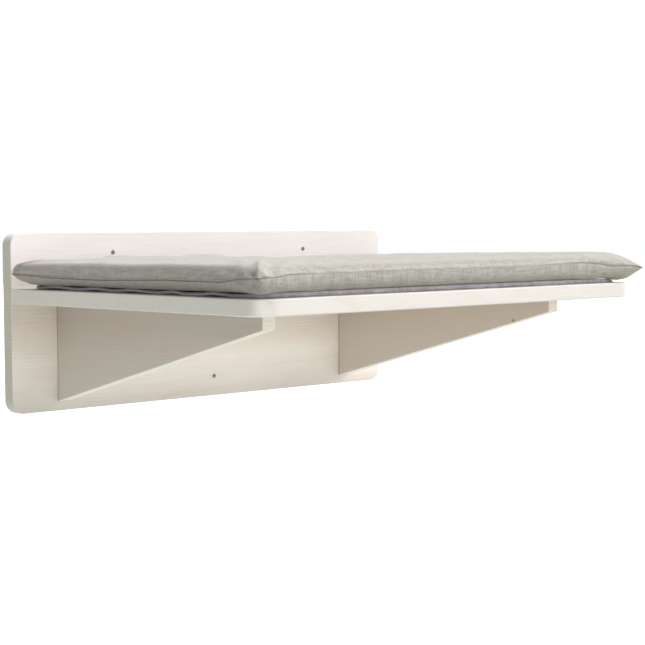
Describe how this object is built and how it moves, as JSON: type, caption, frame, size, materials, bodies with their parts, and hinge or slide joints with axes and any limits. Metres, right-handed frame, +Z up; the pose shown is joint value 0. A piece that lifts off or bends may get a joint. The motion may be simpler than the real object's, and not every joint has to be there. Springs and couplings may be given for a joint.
{
  "type": "cat wall platform",
  "caption": "Wall-mounted cat platform: a back board carries a deep shelf on tapered wooden brackets, with a plush mat and a flat linen cushion that lift off.",
  "frame": {"origin": "centre of the wall plate's back face, which lies on the wall", "axes": "+X along the wall to the right as seen from the room, +Y into the wall, +Z up"},
  "size_m": [0.6344, 0.4713, 0.217],
  "materials": {
    "whitewashed_pine": "satin",
    "beech": "matte",
    "zinc_plated_steel": "satin",
    "hook_tape": "matte",
    "lilac_grey_plush": "matte",
    "grey_linen": "matte",
    "sewing_thread": "matte",
    "fibre_filling": "matte"
  },
  "bodies": {
    "wall_frame": {"wall_plate": "whitewashed_pine", "shelf_board": "whitewashed_pine", "left_bracket": "whitewashed_pine", "right_bracket": "whitewashed_pine", "shelf_back_screws": "zinc_plated_steel", "left_bracket_back_screws": "zinc_plated_steel", "right_bracket_back_screws": "zinc_plated_steel", "left_bracket_top_screws": "zinc_plated_steel", "right_bracket_top_screws": "zinc_plated_steel", "shelf_back_dowels": "beech", "left_bracket_back_dowel": "beech", "right_bracket_back_dowel": "beech", "left_bracket_top_dowels": "beech", "right_bracket_top_dowels": "beech", "hook_pads": "hook_tape"},
    "mat": {"plush_mat": "lilac_grey_plush"},
    "cushion": {"cushion_top_panel": "grey_linen", "cushion_bottom_panel": "grey_linen", "cushion_stitching": "sewing_thread", "cushion_filling": "fibre_filling"}
  },
  "joints": [
    {"name": "mat_lift_off", "type": "slide", "parent": "wall_frame", "child": "mat", "axis": [0, 0, 1], "range_m": [0, 0.1]},
    {"name": "cushion_lift_off", "type": "slide", "parent": "mat", "child": "cushion", "axis": [0, 0, 1], "range_m": [0, 0.15]}
  ]
}
